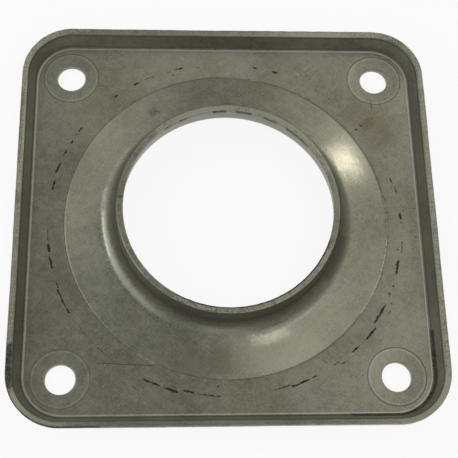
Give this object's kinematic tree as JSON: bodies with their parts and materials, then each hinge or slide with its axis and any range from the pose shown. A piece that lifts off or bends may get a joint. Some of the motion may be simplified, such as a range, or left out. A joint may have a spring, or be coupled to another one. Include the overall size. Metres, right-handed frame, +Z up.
{
  "type": "tube clamp base flange",
  "caption": "Square pressed-steel base flange with an upturned rim, a raised boss and a drafted tube collar, and a dished bolt seat in each corner.",
  "frame": {"origin": "on the bore axis, on the flat underside that is bolted down", "axes": "+Z up along the bore axis, towards the collar's lip; +X and +Y square to the sides"},
  "size_m": [0.131, 0.131, 0.0146],
  "materials": {
    "bare_steel": "bare rolled mild steel, satin, with scuffs and light staining"
  },
  "bodies": {
    "root": {"flange_plate": "bare_steel"}
  },
  "joints": []
}
